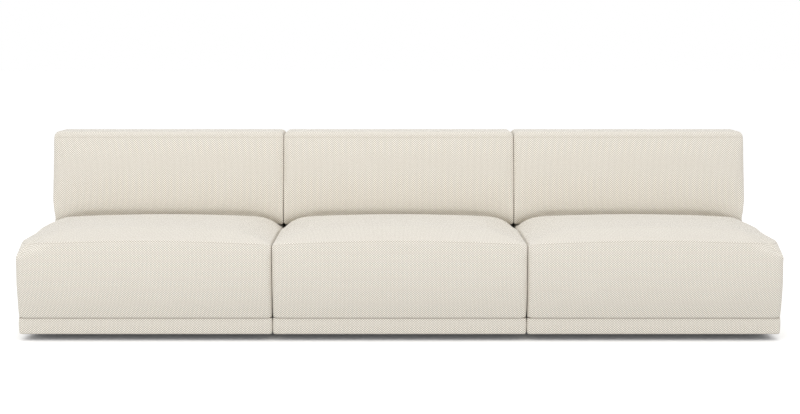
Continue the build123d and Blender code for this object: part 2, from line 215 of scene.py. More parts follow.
# Seams and unevenness of the covers
SEAM_WIDTH = 0.0024
SEAT_SEAM_DEPTH = 0.0016
BACK_SEAM_DEPTH = 0.0002
BACK_SEAM_FAINT = 0.0014  # the back's seams count as this much further off, so they show less, with fainter painted seam shade
SEAT_TOP_SPREAD = 1.9  # a rolled top panel is this much longer near its seam than its plan
BACK_TOP_SPREAD = 2.5
NO_SEAM = 1.0  # the distance that points of a top panel have to the upright seams
PUCKER = 0.00035
PUCKER_REACH = 0.014
PUCKER_LENGTH = 0.045
PANEL_UNEVEN = 0.0009
PANEL_WAVE = 0.22
WAVE_COUNT = 14
WAVE_SPREAD = (0.7, 1.6)
SEAT_SEED, BACK_SEED, CLOTH_SEED = 3, 7, 11

# Yarn and the cloth's colours
YARN_ACROSS = 0.00493
YARN_UP = 0.00421
YARN_DRIFT = 0.0005
YARN_RISE = 2.2  # how soon a yarn reaches its own colour from the painted shade between yarns
FACING_POWER = 6.0
FABRIC_LIGHT = (0.99, 0.955, 0.885, 1)
FABRIC_SECOND = (0.53, 0.49, 0.42, 1)
# painted shade in the hollows between yarns, where the weave is lowest
FABRIC_YARN_GAP_SHADE = (0.50, 0.455, 0.375, 1)
FABRIC_SLUB = (0.90, 0.86, 0.78, 1)
FABRIC_WARM = (0.72, 0.63, 0.50, 1)
# painted shade: the colour that a seam's groove is darkened towards
FABRIC_SEAM_SHADE = (0.36, 0.31, 0.25, 1)
SLUB_SHARE = 0.08
SLUB_HEIGHT = 0.35
WARM_SHARE = 0.10
# how strongly painted shade darkens a seam's groove, and the distances over which it fades
SEAM_SHADE = 0.35
SEAM_SHADE_REACH = (0.0005, 0.0022)

# Finishes of the frame inside
PINE = (0.66, 0.47, 0.27, 1)
PINE_RING = (0.50, 0.31, 0.15, 1)
PLY_FACE = (0.58, 0.44, 0.27, 1)
PLY_GRAIN = (0.45, 0.31, 0.17, 1)
PLY_EDGE = (0.30, 0.18, 0.09, 1)
PLY_LAYER = 0.0015
PLY_EDGE_SHARE = 0.55
GRAIN_STRETCH = 14
RING_SHARE = 0.55
GRAIN_SHARE = 0.5
FIBRE_SHARE = 0.18
WOOD_ROUGHNESS = 0.5
WOOD_ROUGHNESS_SPREAD = 0.2
ZINC = (0.60, 0.61, 0.63)
SPRING_WIRE = (0.20, 0.20, 0.21)
STEEL_SHADE = 0.75
STEEL_ROUGHNESS_SPREAD = 0.3
PLASTIC = (0.018, 0.018, 0.018)
PLASTIC_GRAIN = (0.04, 0.04, 0.04)
BLACK_CLOTH = (0.012, 0.012, 0.013)
BLACK_CLOTH_GRAIN = (0.05, 0.05, 0.052)
SPECKLE_CLOUD = 12
SPECKLE_SHARE = 0.3

# Floor, light and camera
FLOOR_SIZE = 90.0
FLOOR_COLOUR = (0.72, 0.72, 0.72, 1)
FLOOR_SHADE = (0.69, 0.69, 0.69, 1)
FLOOR_SEEN = (1.2, 1.2, 1.2, 1)
FLOOR_GLOW = 0.04  # keeps the deepest shadow under the plinth from going black in the picture
WORLD_COLOUR = (1, 1, 1, 1)
WORLD_LIGHT = 0.815
LAMP_TARGET = (0, 0, 0.3)
LAMPS = {  # place, size and power
    "key": ((-3.5, -5.0, 1.8), 3.0, 68.0),
    "fill": ((3.5, -5.0, 1.8), 3.0, 44.0),
    "top": ((0.0, -0.8, 4.5), 5.0, 53.0),
}
LENS = 68.41
SENSOR = 36.0
CAMERA_PLACE = (-0.0387, -6.090, 1.139)
CAMERA_PITCH = radians(6.356)
CAMERA_SHIFT = 0.0133
CAMERA_REACH = 200.0


def smooth(t):
    """A smooth step from 0 to 1."""
    t = np.clip(t, 0, 1)
    return t * t * (3 - 2 * t)


def round_fall(distance, radius):
    """How far a round edge has fallen at a distance inside it."""
    reach = np.clip(radius - distance, 0, radius)
    return radius - np.sqrt(radius**2 - reach**2)


def dome(t, steepness):
    """A roll's rise from 0 at its seam to 1 at its top, steep at first."""
    t = np.clip(t, 0, 1)
    low = np.sqrt(1 - steepness**2)
    return (np.sqrt(1 - (steepness * (1 - t)) ** 2) - low) / (1 - low)


def spaced(start, end, step=COARSE):
    """Even places from start to end, about a step apart."""
    return np.linspace(start, end, max(2, int(round((end - start) / step)) + 1))


def rolled(radius, angles):
    """Distances in from an edge, for grid lines at some angles of its roll."""
    return radius * (1 - np.cos(np.radians(angles)))


def merged(*groups):
    """All the places of several groups, sorted, with those that nearly agree made one."""
    places = np.sort(np.concatenate([np.atleast_1d(group) for group in groups]))
    keep = np.concatenate([[True], np.diff(places) > LEAST_STEP])
    return places[keep]


# Grids and meshes


def box_grid(xs, ys, zs):
    """Grid points over the six faces of a box, and the quads between them, facing outward."""
    last = (len(xs) - 1, len(ys) - 1, len(zs) - 1)
    index, points, quads = {}, [], []

    def corner(*ijk):
        if ijk not in index:
            index[ijk] = len(points)
            points.append((xs[ijk[0]], ys[ijk[1]], zs[ijk[2]]))
        return index[ijk]

    for axis in range(3):
        u, v = (axis + 1) % 3, (axis + 2) % 3
        for side in (0, last[axis]):
            for a in range(last[u]):
                for b in range(last[v]):
                    ring = []
                    for da, db in ((0, 0), (1, 0), (1, 1), (0, 1)):
                        ijk = [0, 0, 0]
                        ijk[axis], ijk[u], ijk[v] = side, a + da, b + db
                        ring.append(corner(*ijk))
                    quads.append(ring if side else ring[::-1])
    return np.array(points), quads


def round_plan(x, y, half_x, front, rear, radius):
    """Moves points of a rectangle so that its corners are round."""
    core_x = np.clip(x, radius - half_x, half_x - radius)
    core_y = np.clip(y, front + radius, rear - radius)
    dx, dy = x - core_x, y - core_y
    length = np.hypot(dx, dy)
    share = np.maximum(abs(dx), abs(dy)) / np.where(length > 0, length, 1)
    return core_x + dx * share, core_y + dy * share


def new_piece(name, points, quads):
    mesh = bpy.data.meshes.new(name)
    mesh.from_pydata([tuple(p) for p in points], [], quads)
    mesh.update()
    piece = bpy.data.objects.new(name, mesh)
    bpy.context.scene.collection.objects.link(piece)
    return piece


def set_value(mesh, name, values):
    """Stores one number per point of a mesh."""
    attribute = mesh.attributes.get(name) or mesh.attributes.new(name, "FLOAT", "POINT")
    attribute.data.foreach_set("value", np.asarray(values, np.float32))


def get_value(mesh, name):
    values = np.zeros(len(mesh.vertices), np.float32)
    mesh.attributes[name].data.foreach_get("value", values)
    return values


def get_points(mesh):
    points = np.zeros(len(mesh.vertices) * 3, np.float32)
    mesh.vertices.foreach_get("co", points)
    return points.reshape(-1, 3).astype(float)


def set_points(mesh, points):
    mesh.vertices.foreach_set("co", np.asarray(points, np.float32).ravel())
    mesh.update()


def get_normals(mesh):
    normals = np.zeros(len(mesh.vertices) * 3, np.float32)
    mesh.vertex_normals.foreach_get("vector", normals)
    return normals.reshape(-1, 3)


# Seat block


def seam_level(x, y):
    """Height of the seam round the top panel: highest along the front, lower beside and behind."""
    ahead = SEAM_LEVEL - (SEAM_LEVEL - SEAM_LEVEL_SIDE) * (x / half_width) ** 2
    return ahead + (SEAM_LEVEL_REAR - ahead) * smooth((y - step_y + REAR_RUN) / REAR_RUN)


def side_reach(z):
    """Half the seat block's width at a height."""
    tuck = SIDE_TUCK * np.clip((BULGE_LEVEL - z) / (BULGE_LEVEL - hem), 0, 1) ** 2
    top = seat_high.z - SEAT_CROWN_X
    roll = round_fall(np.clip(top - z, 0, None), SIDE_ROLL)
    return half_width - tuck - roll - round_fall(z - hem, HEM_ROLL)


def front_reach(z):
    """The seat's front at a height, fullest at BULGE_LEVEL."""
    below = np.clip((BULGE_LEVEL - z) / (BULGE_LEVEL - hem), 0, 1)
    above = np.clip((z - BULGE_LEVEL) / (SEAM_LEVEL - BULGE_LEVEL), 0, 1)
    setback = FRONT_TUCK * below**2 + SEAM_SETBACK * above**2
    return seat_low.y + setback + round_fall(z - hem, HEM_ROLL)


def rear_reach(z):
    """The seat block's rear at a height, rolled over at the deck."""
    tuck = REAR_TUCK * np.clip((BULGE_LEVEL - z) / (BULGE_LEVEL - hem), 0, 1)
    roll = round_fall(np.clip(deck - z, 0, None), DECK_ROLL)
    return seat_high.y - tuck - roll - round_fall(z - hem, HEM_ROLL)


def seat_top(x, y, half_x, front, rear):
    """Height of the top panel over its seam: rolled front and sides, crown, step and deck."""
    from_side = half_x - abs(x)
    from_front = y - front
    ahead_of_step = np.clip(step_y - y, 0, None)
    top = seat_high.z - SEAT_CROWN_X * (x / half_width) ** 2
    shoulder = top - SEAT_CROWN_Y
    rear_edge = deck + REAR_EDGE_SHARE * (top - deck)
    flat_start, flat_end = front + FRONT_ROLL_DEPTH, step_y - REAR_ROLL
    along = np.clip((y - flat_start) / (flat_end - flat_start), 0, 1)
    seat = shoulder + SEAT_CROWN_Y * (1 - (1 - along) ** 2)
    rear_roll = 1 - round_fall(ahead_of_step, REAR_ROLL) / REAR_ROLL
    seat = rear_edge + (seat - rear_edge) * rear_roll
    seam = seam_level(x, y)
    rise_x = dome(from_side / SIDE_ROLL_DEPTH, SIDE_STEEPNESS)
    rise_y = dome(from_front / FRONT_ROLL_DEPTH, SEAM_STEEPNESS)
    seat = (seat - seam) * rise_x * rise_y
    rise_x = dome(from_side / DECK_ROLL_DEPTH, SEAM_STEEPNESS)
    rise_y = dome((rear - y) / DECK_ROLL_DEPTH, SEAM_STEEPNESS)
    behind = (deck - seam) * rise_x * rise_y
    return seat + (behind - seat) * smooth((y - step_y) / STEP_RUN + 0.5)


def slot_spans():
    """The x span and y span of the slot in the deck for the blade on the module's right."""
    x1, x0 = blade_high.x + SLOT_MARGIN, blade_high.x - BLADE_WIDTH - SLOT_MARGIN
    return (x0, x1), (blade_low.y - SLOT_MARGIN, blade_high.y + SLOT_MARGIN)


def seat_lines(half_x, front, rear):
    """Places across and along the seat block for its grid lines."""
    roll = np.array(SIDE_LINES)
    slot_x, slot_y = slot_spans()
    xs = merged(
        roll - half_x,
        spaced(SIDE_ROLL_DEPTH - half_x, half_x - SIDE_ROLL_DEPTH),
        half_x - roll,
        slot_x,
        [-x for x in slot_x],
    )
    ys = merged(
        front + np.array(FRONT_LINES),
        spaced(front + FRONT_ROLL_DEPTH, step_y - REAR_ROLL),
        step_y - rolled(REAR_ROLL, REAR_ROLL_ANGLES),
        step_y + STEP_RUN * np.array(WALL_SHARES),
        spaced(step_y + DECK_START, rear - DECK_ROLL_DEPTH),
        rear - np.array(DECK_LINES),
        slot_y,
    )
    return xs, ys


def seat_grid():
    """The seat block at rest: a closed grid, with each point's distance from the seam."""
    half_x = side_reach(np.array(SEAM_LEVEL_SIDE))
    front = front_reach(np.array(SEAM_LEVEL))
    rear = rear_reach(np.array(SEAM_LEVEL_REAR))
    height = SEAM_LEVEL - hem
    below = np.array(SEAM_LINES)
    zs = merged(HEM_LINES, spaced(below[-1], height - below[-1]), height - below) / height
    box, quads = box_grid(*seat_lines(half_x, front, rear), zs)
    x, y, c = box.T
    level = seam_level(x, y)
    z = hem + (level - hem) * c
    across, along = x / half_x, (y - front) / (rear - front)
    front_z, rear_z = front_reach(z), rear_reach(z)
    sharper = smooth((z - CORNER_LEVEL) / (SEAM_LEVEL_SIDE - CORNER_LEVEL))
    corner = CORNER + (SEAM_CORNER - CORNER) * sharper
    wide = across * side_reach(z)
    deep = front_z + along * (rear_z - front_z)
    px, py = round_plan(wide, deep, side_reach(z), front_z, rear_z, corner)
    on_top = c >= 1
    pz = z + np.where(on_top, seat_top(x, y, half_x, front, rear), 0)
    from_edge = np.minimum(np.minimum(half_x - abs(x), y - front), rear - y)
    seam = np.where(on_top, SEAT_TOP_SPREAD * from_edge, level - z)
    return np.column_stack([px, py, pz]), quads, seam, box


# Back block


def draw_in(z):
    """The share of its full setback that the back block has at a height, most just over the seat."""
    short = np.clip(1 - (z - back_low.z) / BACK_BOTTOM_ROLL, 0, 1)
    return short**DRAW_POWER * smooth((z - BACK_FULL) / (BACK_REST - BACK_FULL))


def rest_drop(x):
    """How much lower the back meets the seat near its sides than in its middle."""
    return REST_DROP * np.clip(1 - (half_width - abs(x)) / REST_RUN, 0, 1) ** 3


def back_face(x, z):
    """The back block's front face: reclined, puffed, crowned, and creased where it meets the seat."""
    low, high = back_low.z + BACK_HEEL, back_high.z - BACK_ROLL
    up = np.clip(z - back_low.z - RECLINE_START, 0, None)
    puff = BACK_PUFF * np.sin(pi * np.clip((z - low) / (high - low), 0, 1))
    foot = step_y + SEAT_BACK_GAP + BACK_CROWN * (x / half_width) ** 2
    level = z + rest_drop(x)
    crease = round_fall(abs(level - BACK_REST), BACK_REST_ROLL)
    setback = BACK_BOTTOM_SETBACK * draw_in(level) + crease
    return foot + tan(RECLINE) * up - puff + setback


def back_lines(front, rear):
    """Places across and along the back block for its grid lines."""
    roll = rolled(BACK_SIDE_ROLL, BACK_ROLL_ANGLES)
    flat = half_width - BACK_SIDE_ROLL
    xs = merged(roll - half_width, spaced(-flat, flat), half_width - roll)
    ys = merged(
        front + rolled(BACK_ROLL, BACK_ROLL_ANGLES),
        spaced(front + BACK_ROLL, rear - BACK_REAR_ROLL),
        rear - rolled(BACK_REAR_ROLL, BACK_ROLL_ANGLES),
    )
    return xs, ys


def back_grid():
    """The back block at rest: a closed grid, with each point's distance from the seam."""
    seam_z = back_high.z - BACK_SEAM_DROP
    front, rear = back_face(np.array(0.0), np.array(seam_z)), back_high.y
    height = seam_z - back_low.z
    below = np.array(BACK_SEAM_LINES)
    bottom = rolled(BACK_HEEL, BACK_ROLL_ANGLES)
    zs = merged(bottom, spaced(BACK_HEEL, height - below[-1]), height - below) / height
    box, quads = box_grid(*back_lines(front, rear), zs)
    x, y, c = box.T
    z = back_low.z + height * c
    heel = round_fall(z - back_low.z, BACK_HEEL)
    half_x = half_width - heel
    wide = x / half_width * half_x
    front_z, rear_z = back_face(x, z) + heel, rear - heel
    deep = front_z + (y - front) / (rear - front) * (rear_z - front_z)
    px, py = round_plan(wide, deep, half_x, front_z, rear_z, BACK_CORNER)
    from_edges = [half_width - abs(x), y - front, rear - y]
    rise = BACK_SEAM_DROP * np.ones(len(x))
    for distance, radius in zip(from_edges, (BACK_SIDE_ROLL, BACK_ROLL, BACK_REAR_ROLL)):
        rise = rise * (1 - round_fall(distance, radius) / radius)
    on_top = c >= 1
    over_top = BACK_TOP_SPREAD * np.minimum.reduce(from_edges)
    seam = np.where(on_top, over_top, seam_z - z) + BACK_SEAM_FAINT
    return np.column_stack([px, py, z + np.where(on_top, rise, 0)]), quads, seam, box


# Swelling, seams and the covers' unevenness


def swell(piece, hold, cap):
    """Lets a cover swell as cloth where hold is under 1, then keeps each point within cap of its start."""
    start = get_points(piece.data)
    group = piece.vertex_groups.new(name=CLOTH["vertex_group_mass"])
    for number, weight in enumerate(hold):
        group.add([number], float(weight), "REPLACE")
    cloth = piece.modifiers.new("swell", "CLOTH")
    for name, value in CLOTH.items():
        setattr(cloth.settings, name, value)
    cloth.settings.effector_weights.gravity = 0
    cloth.point_cache.frame_start, cloth.point_cache.frame_end = 1, FRAMES
    scene = bpy.context.scene
    for number in range(1, FRAMES + 1):
        scene.frame_set(number)
    swollen = piece.evaluated_get(bpy.context.evaluated_depsgraph_get())
    moved = get_points(swollen.data) - start
    piece.modifiers.remove(cloth)
    piece.vertex_groups.remove(group)
    scene.frame_set(1)
    length = np.linalg.norm(moved, axis=1, keepdims=True)
    set_points(piece.data, start + moved * cap / np.maximum(length, cap))


def refine(piece):
    """One smooth subdivision, applied with the piece's other modifiers."""
    piece.modifiers.new("smooth", "SUBSURF").levels = 1
    made = piece.evaluated_get(bpy.context.evaluated_depsgraph_get())
    mesh = bpy.data.meshes.new_from_object(made)
    piece.modifiers.clear()
    piece.data = mesh


def waves(points, seed, size):
    """A smooth unevenness between about -1 and 1, as a sum of plane waves about size long."""
    chance = np.random.default_rng(seed)
    total = np.zeros(len(points))
    for _ in range(WAVE_COUNT):
        direction = chance.normal(size=3)
        direction /= np.linalg.norm(direction)
        length = size * chance.uniform(*WAVE_SPREAD)
        total += np.sin(points @ direction * 2 * pi / length + chance.uniform(0, 2 * pi))
    return total / np.sqrt(WAVE_COUNT / 2) / 2


def sew(piece, depth, seed):
    """Draws the seams in, puckers the cloth beside them and leaves its panels a little uneven."""
    mesh = piece.data
    points, normals = get_points(mesh), get_normals(mesh)
    seam, upright = get_value(mesh, "seam"), get_value(mesh, "upright_seam")
    near = np.minimum(abs(seam), abs(upright))
    groove = depth * np.exp(-((near / SEAM_WIDTH) ** 2))
    beside = np.exp(-((near / PUCKER_REACH) ** 2))
    pucker = PUCKER * beside * waves(points, seed, PUCKER_LENGTH)
    panel = PANEL_UNEVEN * smooth(near / SEWN_REACH) * waves(points, seed + 1, PANEL_WAVE)
    shift = (pucker + panel - groove) * get_value(mesh, "free")
    set_points(mesh, points + normals * shift[:, None])


def upholstery(name, grid, free, cap, depth, seed, lowest):
    """A cover made from its grid at rest: swollen where it is free, refined, sewn and kept in its room."""
    points, quads, seam, box = grid
    piece = new_piece(name, points, quads)
    x, y, c = box.T
    from_corner = np.hypot(abs(x) - abs(x).max(), y - y.max())
    set_value(piece.data, "seam", seam)
    set_value(piece.data, "upright_seam", np.where(c < 1, from_corner, NO_SEAM))
    set_value(piece.data, "free", free)
    sewn = SEWN_FREE + (1 - SEWN_FREE) * smooth(abs(seam) / SEWN_REACH)
    swell(piece, 1 - FREEST * free * sewn, cap)
    refine(piece)
    sew(piece, depth, seed)
    low_limit, high_limit = (-SIDE_LIMIT, -REACH_LIMIT, lowest), (SIDE_LIMIT, REACH_LIMIT, REACH_LIMIT)
    set_points(piece.data, np.clip(get_points(piece.data), low_limit, high_limit))
    return piece


def cut_slots(piece):
    """Opens the deck for the two blades and turns the fabric's edge down."""
    mesh = bmesh.new()
    mesh.from_mesh(piece.data)
    (x0, x1), (y0, y1) = slot_spans()
    inside = []
    for face in mesh.faces:
        middle = face.calc_center_median()
        if x0 < abs(middle.x) < x1 and y0 < middle.y < y1 and middle.z > deck - SLOT_RIM:
            inside.append(face)
    bmesh.ops.delete(mesh, geom=inside, context="FACES")
    rim = [edge for edge in mesh.edges if edge.is_boundary]
    made = bmesh.ops.extrude_edge_only(mesh, edges=rim)["geom"]
    for vertex in (item for item in made if isinstance(item, bmesh.types.BMVert)):
        vertex.co.z -= SLOT_RIM
    mesh.to_mesh(piece.data)
    mesh.free()


def seat_upholstery():
    """The seat's cover, held under the back block and along its hem."""
    grid = seat_grid()
    points, box = grid[0], grid[3]
    ahead = smooth((step_y - SEAT_HELD_AHEAD - box[:, 1]) / SEAT_HELD_RUN)
    high = smooth((points[:, 2] - hem) / SEAT_HELD_LOW)
    free = np.minimum(high, ahead)
    piece = upholstery("seat_upholstery", grid, free, SEAT_CAP, SEAT_SEAM_DEPTH, SEAT_SEED, hem)
    cut_slots(piece)
    return piece


def back_upholstery():
    """The back's cover, held at its rear and foot and nearly so on top."""
    grid = back_grid()
    points, box = grid[0], grid[3]
    y, c = box[:, 1], box[:, 2]
    ahead = smooth((y.max() - BACK_HELD_REAR - y) / BACK_HELD_RUN) * np.where(c < 1, 1, BACK_TOP_FREE)
    high = smooth((points[:, 2] - back_low.z - BACK_HELD_LOW) / BACK_HELD_RISE)
    free = np.minimum(high, ahead)
    foot = back_low.z
    return upholstery("back_upholstery", grid, free, BACK_CAP, BACK_SEAM_DEPTH, BACK_SEED, foot)


def ease_seat_side(points, side):
    """Rounds the upper front corner of the side that no neighbour presses, and fills its shoulder."""
    x, y, z = points.T
    upper = smooth((z - CORNER_LEVEL) / (SEAM_LEVEL - CORNER_LEVEL))
    near = smooth((side * x / half_width - SHOULDER_START) / (1 - SHOULDER_START))
    begun = smooth((y - step_y + SHOULDER_AHEAD) / SHOULDER_RISE)
    ended = smooth((y - step_y + SHOULDER_END) / SHOULDER_FALL)
    radius = LEAST_CORNER + FREE_CORNER * upper
    px, py = round_plan(x, y, half_width, seat_low.y, -seat_low.y, radius)
    free = (side * x > 0) & (y < 0)
    lifted = z + FREE_SHOULDER * near * (begun * (1 - ended)) * upper
    return np.column_stack([np.where(free, px, x), np.where(free, py, y), lifted])


def ease_back_side(points, side):
    """Draws in the foot of the side that no neighbour presses."""
    x, y, z = points.T
    near = smooth((side * x / half_width - WAIST_START) / (1 - WAIST_START))
    return np.column_stack([x - side * FREE_WAIST * draw_in(z) * near, y, z])


# Plinth band and the cloth under it


def band_section():
    """The band's section as (outward, z): fabric down the board's face, round its edge and under."""
    inner = BAND_THICKNESS
    top, low = band_high.z, band_low.z
    drop = low + BAND_EDGE - top
    face = [(BAND_PUFF * sin(pi * share), top + drop * share) for share in spaced(0, 1, BAND_FACE_STEP)]
    edge = [
        (-BAND_EDGE * (1 - cos(angle)), low + BAND_EDGE * (1 - sin(angle)))
        for angle in np.radians(BAND_EDGE_ANGLES)
    ]
    under = [(-BAND_EDGE - BAND_HEM, low), (-BAND_EDGE - BAND_HEM, low + inner)]
    inside = [(-inner, low + inner), (-inner, top)]
    return face + edge + under + inside


def band_path():
    """Places round the plinth's plan, each with its outward direction."""
    places = []
    half_x, half_y = band_high.x, (band_high.y - band_low.y) / 2
    middle = (band_high.y + band_low.y) / 2
    core_x, core_y = half_x - BAND_CORNER, half_y - BAND_CORNER
    corners = ((1, 1, 0), (-1, 1, 90), (-1, -1, 180), (1, -1, 270))
    for number, (sx, sy, start) in enumerate(corners):
        for angle in np.radians(start + spaced(0, 90, BAND_CORNER_STEP)):
            out = (cos(angle), sin(angle))
            places.append(((sx * core_x, middle + sy * core_y), out))
        tx, ty, _ = corners[(number + 1) % 4]
        for share in spaced(0, 1, BAND_SIDE_STEP)[1:-1]:
            x = sx * core_x + (tx - sx) * core_x * share
            y = middle + sy * core_y + (ty - sy) * core_y * share
            places.append(((x, y), out))
    return places


def plinth_band():
    """The fabric band round the plinth: its section carried along its path."""
    section, path = band_section(), band_path()
    points, quads = [], []
    for (x, y), (nx, ny) in path:
        for outward, z in section:
            reach = BAND_CORNER + BAND_PROUD + outward
            points.append((x + nx * reach, y + ny * reach, z))
    rows, count = len(path), len(section)
    for row in range(rows):
        for step in range(count):
            here, there = row * count, (row + 1) % rows * count
            after = (step + 1) % count
            quads.append((here + step, here + after, there + after, there + step))
    return new_piece("plinth_band", points, quads)


def cloth_cuts(low, high, width):
    """The y spans that the cloth leaves free for the foremost and rearmost of some fittings."""
    front = (low.y - CLOTH_GAP, low.y + width + CLOTH_GAP)
    return [front, (high.y - width - CLOTH_GAP, high.y + CLOTH_GAP)]


def under_cloth():
    """Thin cloth under the plinth boards, cut out at the feet and hook plates and sagging a little."""
    feet_low, feet_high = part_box("centre_feet")
    feet = cloth_cuts(feet_low, feet_high, FOOT_WIDTH)
    plates = cloth_cuts(*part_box("centre_hook_plates"), HOOK_WIDTH)
    foot = feet_high.x - FOOT_WIDTH - CLOTH_GAP
    plate = feet_high.x - HOOK_ROOT - CLOTH_GAP
    x1, y0, y1 = cloth_high.x, cloth_low.y, cloth_high.y
    xs = merged(spaced(-foot, foot, CLOTH_STEP), [-x1, -plate, plate, x1])
    ys = merged(spaced(y0, y1, CLOTH_STEP), *feet, *plates)
    points = np.array([(x, y, cloth_high.z - CLOTH_THICKNESS) for y in ys for x in xs])
    quads = []
    for row in range(len(ys) - 1):
        for step in range(len(xs) - 1):
            x = abs(xs[step] + xs[step + 1]) / 2
            y = (ys[row] + ys[row + 1]) / 2
            at_foot = x > foot and any(low < y < high for low, high in feet)
            at_plate = x > plate and any(low < y < high for low, high in plates)
            if not at_foot and not at_plate:
                first = row * len(xs) + step
                quads.append((first, first + len(xs), first + len(xs) + 1, first + 1))
    across = np.cos(points[:, 0] / x1 * pi / 2)
    along = np.sin((points[:, 1] - y0) / (y1 - y0) * pi)
    ripple = CLOTH_RIPPLE * across * waves(points, CLOTH_SEED, CLOTH_WAVE)
    points[:, 2] -= CLOTH_SAG * across * along + ripple
    piece = new_piece("under_cloth", points, quads)
    drop_loose_points(piece)
    piece.modifiers.new("thick", "SOLIDIFY").thickness = CLOTH_THICKNESS
    refine(piece)
    return piece


def drop_loose_points(piece):
    """Drops points that no face uses."""
    mesh = bmesh.new()
    mesh.from_mesh(piece.data)
    loose = [vertex for vertex in mesh.verts if not vertex.link_faces]
    bmesh.ops.delete(mesh, geom=loose, context="VERTS")
    mesh.to_mesh(piece.data)
    mesh.free()


# Finishes


class Nodes:
    """Short calls for building one material's nodes."""

    def __init__(self, tree):
        self.tree = tree

    def add(self, kind, settings=(), **inputs):
        """A node with its settings and inputs. An input that shares its name goes by number: i0, i1."""
        node = self.tree.nodes.new(kind)
        for name, value in dict(settings).items():
            setattr(node, name, value)
        for name, value in inputs.items():
            by_number = name[0] == "i" and name[1:].isdigit()
            self.put(node.inputs[int(name[1:]) if by_number else name], value)
        return node

    def put(self, socket, value):
        """Links a socket to another node's output, or gives it a plain value."""
        if isinstance(value, bpy.types.NodeSocket):
            self.tree.links.new(value, socket)
        else:
            socket.default_value = value

    def math(self, operation, *values):
        node = self.tree.nodes.new("ShaderNodeMath")
        node.operation = operation
        for socket, value in zip(node.inputs, values):
            self.put(socket, value)
        return node.outputs[0]

    def blend(self, share, first, second):
        """A colour between two, by a share."""
        node = self.tree.nodes.new("ShaderNodeMix")
        node.data_type = "RGBA"
        self.put(node.inputs["Factor"], share)
        self.put(node.inputs[6], first)
        self.put(node.inputs[7], second)
        return node.outputs[2]

    def noise(self, place, scale, detail=2.0, roughness=0.5):
        node = self.tree.nodes.new("ShaderNodeTexNoise")
        self.put(node.inputs["Vector"], place)
        node.inputs["Scale"].default_value = scale
        node.inputs["Detail"].default_value = detail
        node.inputs["Roughness"].default_value = roughness
        return node.outputs["Fac"]

    def bump(self, shader, height, strength, distance):
        """Lets a height show in a shader's normal."""
        node = self.add("ShaderNodeBump", Strength=strength, Distance=distance, Height=height)
        self.put(shader.inputs["Normal"], node.outputs[0])


def new_material(name, roughness, sheen=0.0, metallic=0.0):
    """A material, its node helper, its shader and the object's own coordinates."""
    material = bpy.data.materials.new(name)
    material.use_nodes = True
    nodes = Nodes(material.node_tree)
    shader = material.node_tree.nodes["Principled BSDF"]
    shader.inputs["Roughness"].default_value = roughness
    shader.inputs["Metallic"].default_value = metallic
    shader.inputs["Sheen Weight"].default_value = sheen
    place = nodes.add("ShaderNodeTexCoord")
    return material, nodes, shader, place


def weave_plane():
    """A group that gives the height of a plain weave of thick yarn at a place in its plane."""
    tree = bpy.data.node_groups.new("weave_plane", "ShaderNodeTree")
    tree.interface.new_socket("Place", in_out="INPUT", socket_type="NodeSocketVector")
    tree.interface.new_socket("Height", in_out="OUTPUT", socket_type="NodeSocketFloat")
    tree.interface.new_socket("Over", in_out="OUTPUT", socket_type="NodeSocketFloat")
    nodes = Nodes(tree)
    start, end = nodes.add("NodeGroupInput"), nodes.add("NodeGroupOutput")
    parts = nodes.add("ShaderNodeSeparateXYZ", Vector=start.outputs["Place"])
    u = nodes.math("DIVIDE", parts.outputs["X"], YARN_ACROSS)
    v = nodes.math("DIVIDE", parts.outputs["Y"], YARN_UP)
    cells = nodes.math("ADD", nodes.math("FLOOR", u), nodes.math("FLOOR", v))
    over = nodes.math("FLOORED_MODULO", cells, 2.0)
    round_u = nodes.math("ABSOLUTE", nodes.math("SINE", nodes.math("MULTIPLY", u, pi)))
    round_v = nodes.math("ABSOLUTE", nodes.math("SINE", nodes.math("MULTIPLY", v, pi)))
    along_u = nodes.math("MULTIPLY", round_v, nodes.math("MULTIPLY_ADD", round_u, 0.5, 0.5))
    along_v = nodes.math("MULTIPLY", round_u, nodes.math("MULTIPLY_ADD", round_v, 0.5, 0.5))
    first = nodes.math("MULTIPLY", along_u, over)
    second = nodes.math("MULTIPLY", along_v, nodes.math("SUBTRACT", 1.0, over))
    nodes.put(end.inputs["Height"], nodes.math("ADD", first, second))
    nodes.put(end.inputs["Over"], over)
    return tree


def woven(nodes, place, normal):
    """Height and yarn of a weave laid over whichever way the surface faces."""
    group = weave_plane()
    x, y, z = nodes.add("ShaderNodeSeparateXYZ", Vector=place).outputs
    facing = nodes.add("ShaderNodeSeparateXYZ", Vector=normal).outputs
    shares = [nodes.math("POWER", nodes.math("ABSOLUTE", axis), FACING_POWER) for axis in facing]
    total = nodes.math("ADD", nodes.math("ADD", shares[0], shares[1]), shares[2])
    height, over = 0.0, 0.0
    for share, first, second in zip(shares, (y, x, x), (z, z, y)):
        at = nodes.add("ShaderNodeCombineXYZ", X=first, Y=second).outputs[0]
        plane = nodes.add("ShaderNodeGroup", {"node_tree": group})
        nodes.put(plane.inputs["Place"], at)
        weight = nodes.math("DIVIDE", share, total)
        height = nodes.math("MULTIPLY_ADD", plane.outputs["Height"], weight, height)
        over = nodes.math("MULTIPLY_ADD", plane.outputs["Over"], weight, over)
    return height, over


def drifted(nodes, place):
    """A place moved a little, so that the yarns run less than straight."""
    drift = nodes.add("ShaderNodeTexNoise", Vector=place, Scale=38.0, Detail=1.0).outputs["Color"]
    middle = (0.5, 0.5, 0.5)
    centred = nodes.add("ShaderNodeVectorMath", {"operation": "SUBTRACT"}, i0=drift, i1=middle)
    small = nodes.add(
        "ShaderNodeVectorMath", {"operation": "SCALE"}, i0=centred.outputs[0], Scale=YARN_DRIFT
    )
    moved = nodes.add("ShaderNodeVectorMath", {"operation": "ADD"}, i0=place, i1=small.outputs[0])
    return moved.outputs[0]


